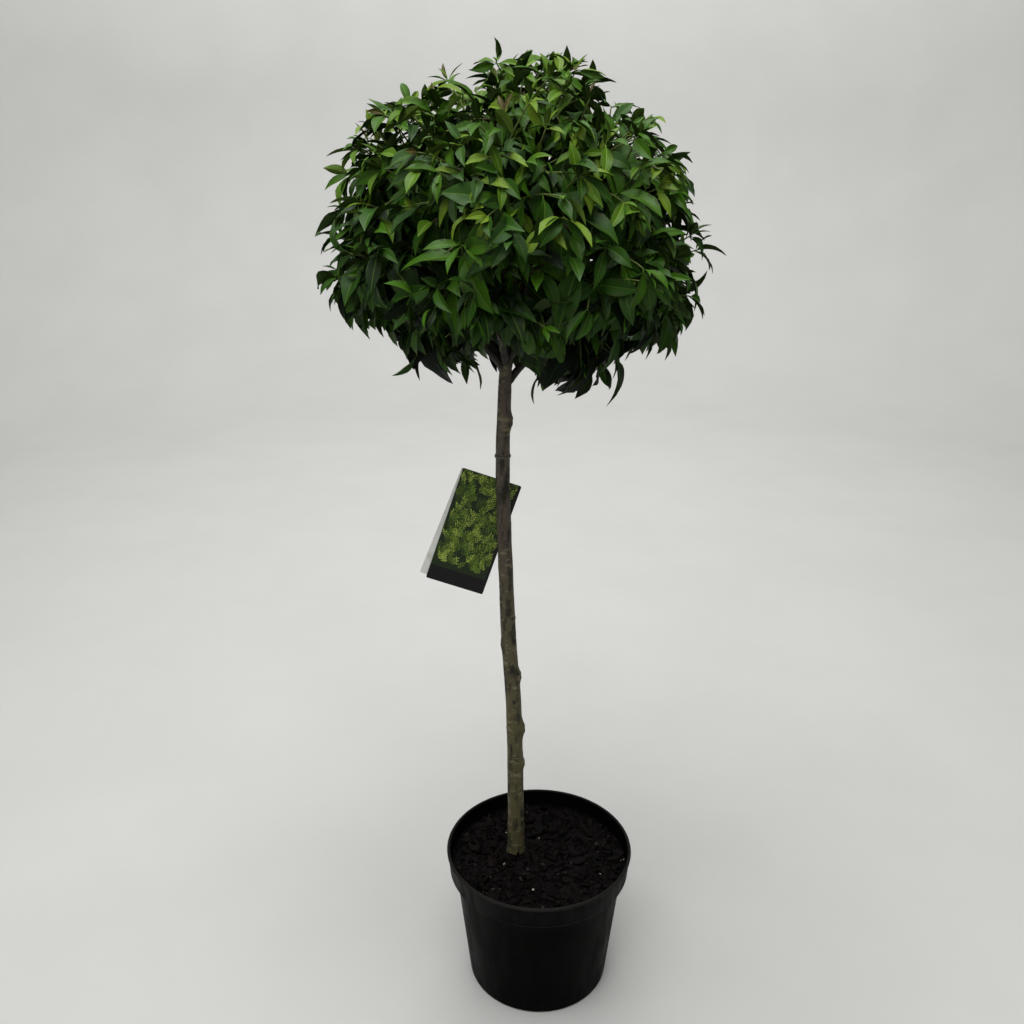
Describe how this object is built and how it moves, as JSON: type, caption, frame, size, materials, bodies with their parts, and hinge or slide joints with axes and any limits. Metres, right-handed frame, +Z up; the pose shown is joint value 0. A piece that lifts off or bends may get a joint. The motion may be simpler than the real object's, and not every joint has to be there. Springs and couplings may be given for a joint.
{
  "type": "standard lollipop topiary",
  "caption": "Evergreen patio shrub trained as a standard: a round leafy head on a clear, slender stem, in a round nursery pot with a hang label.",
  "frame": {"origin": "centre of the pot's flat underside", "axes": "+Z up along the stem, +X to the right of the picture, -Y towards the viewer"},
  "size_m": [0.5028, 0.4474, 1.34],
  "materials": {
    "pot": "black moulded plastic, satin, with a brighter rolled rim",
    "compost": "dark, moist, bark-based compost",
    "bark": "smooth grey-olive bark with small pores and healed pruning scars",
    "bough": "young bark, greener than the trunk's",
    "foliage": "leathery satin leaves, dark above and paler below",
    "label": null,
    "label_leaf": "plain pale card",
    "strap": "dark soft plastic"
  },
  "bodies": {
    "root": {"pot": "pot", "compost": "compost", "trunk": "bark", "bough_lower_1": "bough", "bough_lower_2": "bough", "bough_lower_3": "bough", "bough_lower_4": "bough", "bough_lower_5": "bough", "bough_lower_6": "bough", "bough_upper_1": "bough", "bough_upper_2": "bough", "bough_upper_3": "bough", "bough_upper_4": "bough", "bough_upper_5": "bough", "bough_top": "bough", "foliage_lower_1": "foliage", "foliage_lower_2": "foliage", "foliage_lower_3": "foliage", "foliage_lower_4": "foliage", "foliage_lower_5": "foliage", "foliage_lower_6": "foliage", "foliage_upper_1": "foliage", "foliage_upper_2": "foliage", "foliage_upper_3": "foliage", "foliage_upper_4": "foliage", "foliage_upper_5": "foliage", "foliage_top": "foliage", "label_card": "label", "label_leaf": "label_leaf", "label_strap": "strap"}
  },
  "joints": []
}
